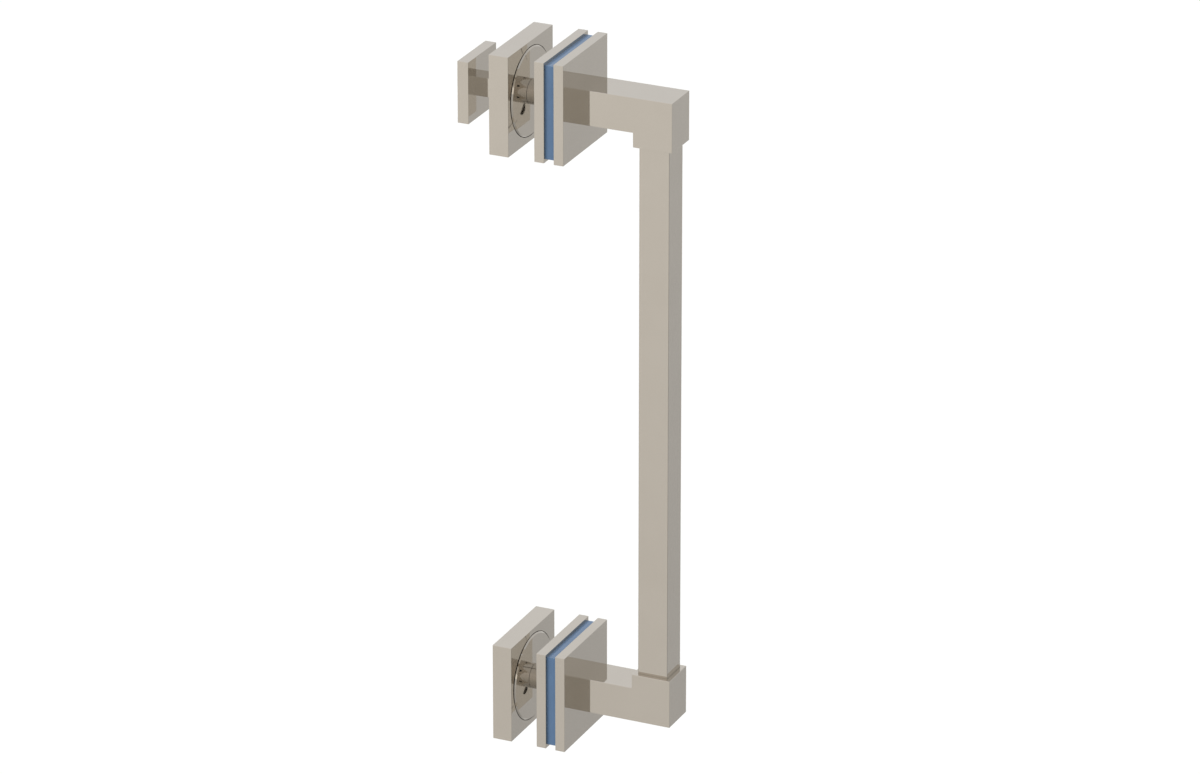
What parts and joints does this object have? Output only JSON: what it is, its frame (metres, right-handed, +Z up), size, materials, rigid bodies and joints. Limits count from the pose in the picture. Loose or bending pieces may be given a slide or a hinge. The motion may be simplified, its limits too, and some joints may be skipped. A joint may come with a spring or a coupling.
{
  "type": "shower door handle",
  "caption": "Through-glass shower door handle: a square grip bar on L-shaped arms, clamped by square plates with a blue accent, and a small square knob behind the upper mount.",
  "frame": {"origin": "on the pull side face of the glass, midway between the two door holes", "axes": "+X out of the glass on the pull side, +Y along the door, +Z up"},
  "size_m": [0.1083, 0.05, 0.3548],
  "materials": {
    "nickel": "polished",
    "accent": "satin",
    "steel": "satin"
  },
  "bodies": {
    "root": {"grip_bar": "nickel", "knob": "nickel", "upper_arm": "nickel", "upper_outer_plate": "nickel", "upper_inner_plate": "nickel", "upper_pull_disc": "nickel", "upper_through_post": "nickel", "upper_back_disc": "nickel", "upper_back_plate": "nickel", "upper_accent": "accent", "upper_plate_screws": "steel", "upper_pull_stud": "steel", "upper_back_stud": "steel", "upper_cover_screw": "steel", "upper_bar_screw": "steel", "lower_arm": "nickel", "lower_outer_plate": "nickel", "lower_inner_plate": "nickel", "lower_pull_disc": "nickel", "lower_through_post": "nickel", "lower_back_disc": "nickel", "lower_back_plate": "nickel", "lower_accent": "accent", "lower_plate_screws": "steel", "lower_pull_stud": "steel", "lower_back_stud": "steel", "lower_cover_screw": "steel", "lower_bar_screw": "steel"}
  },
  "joints": []
}
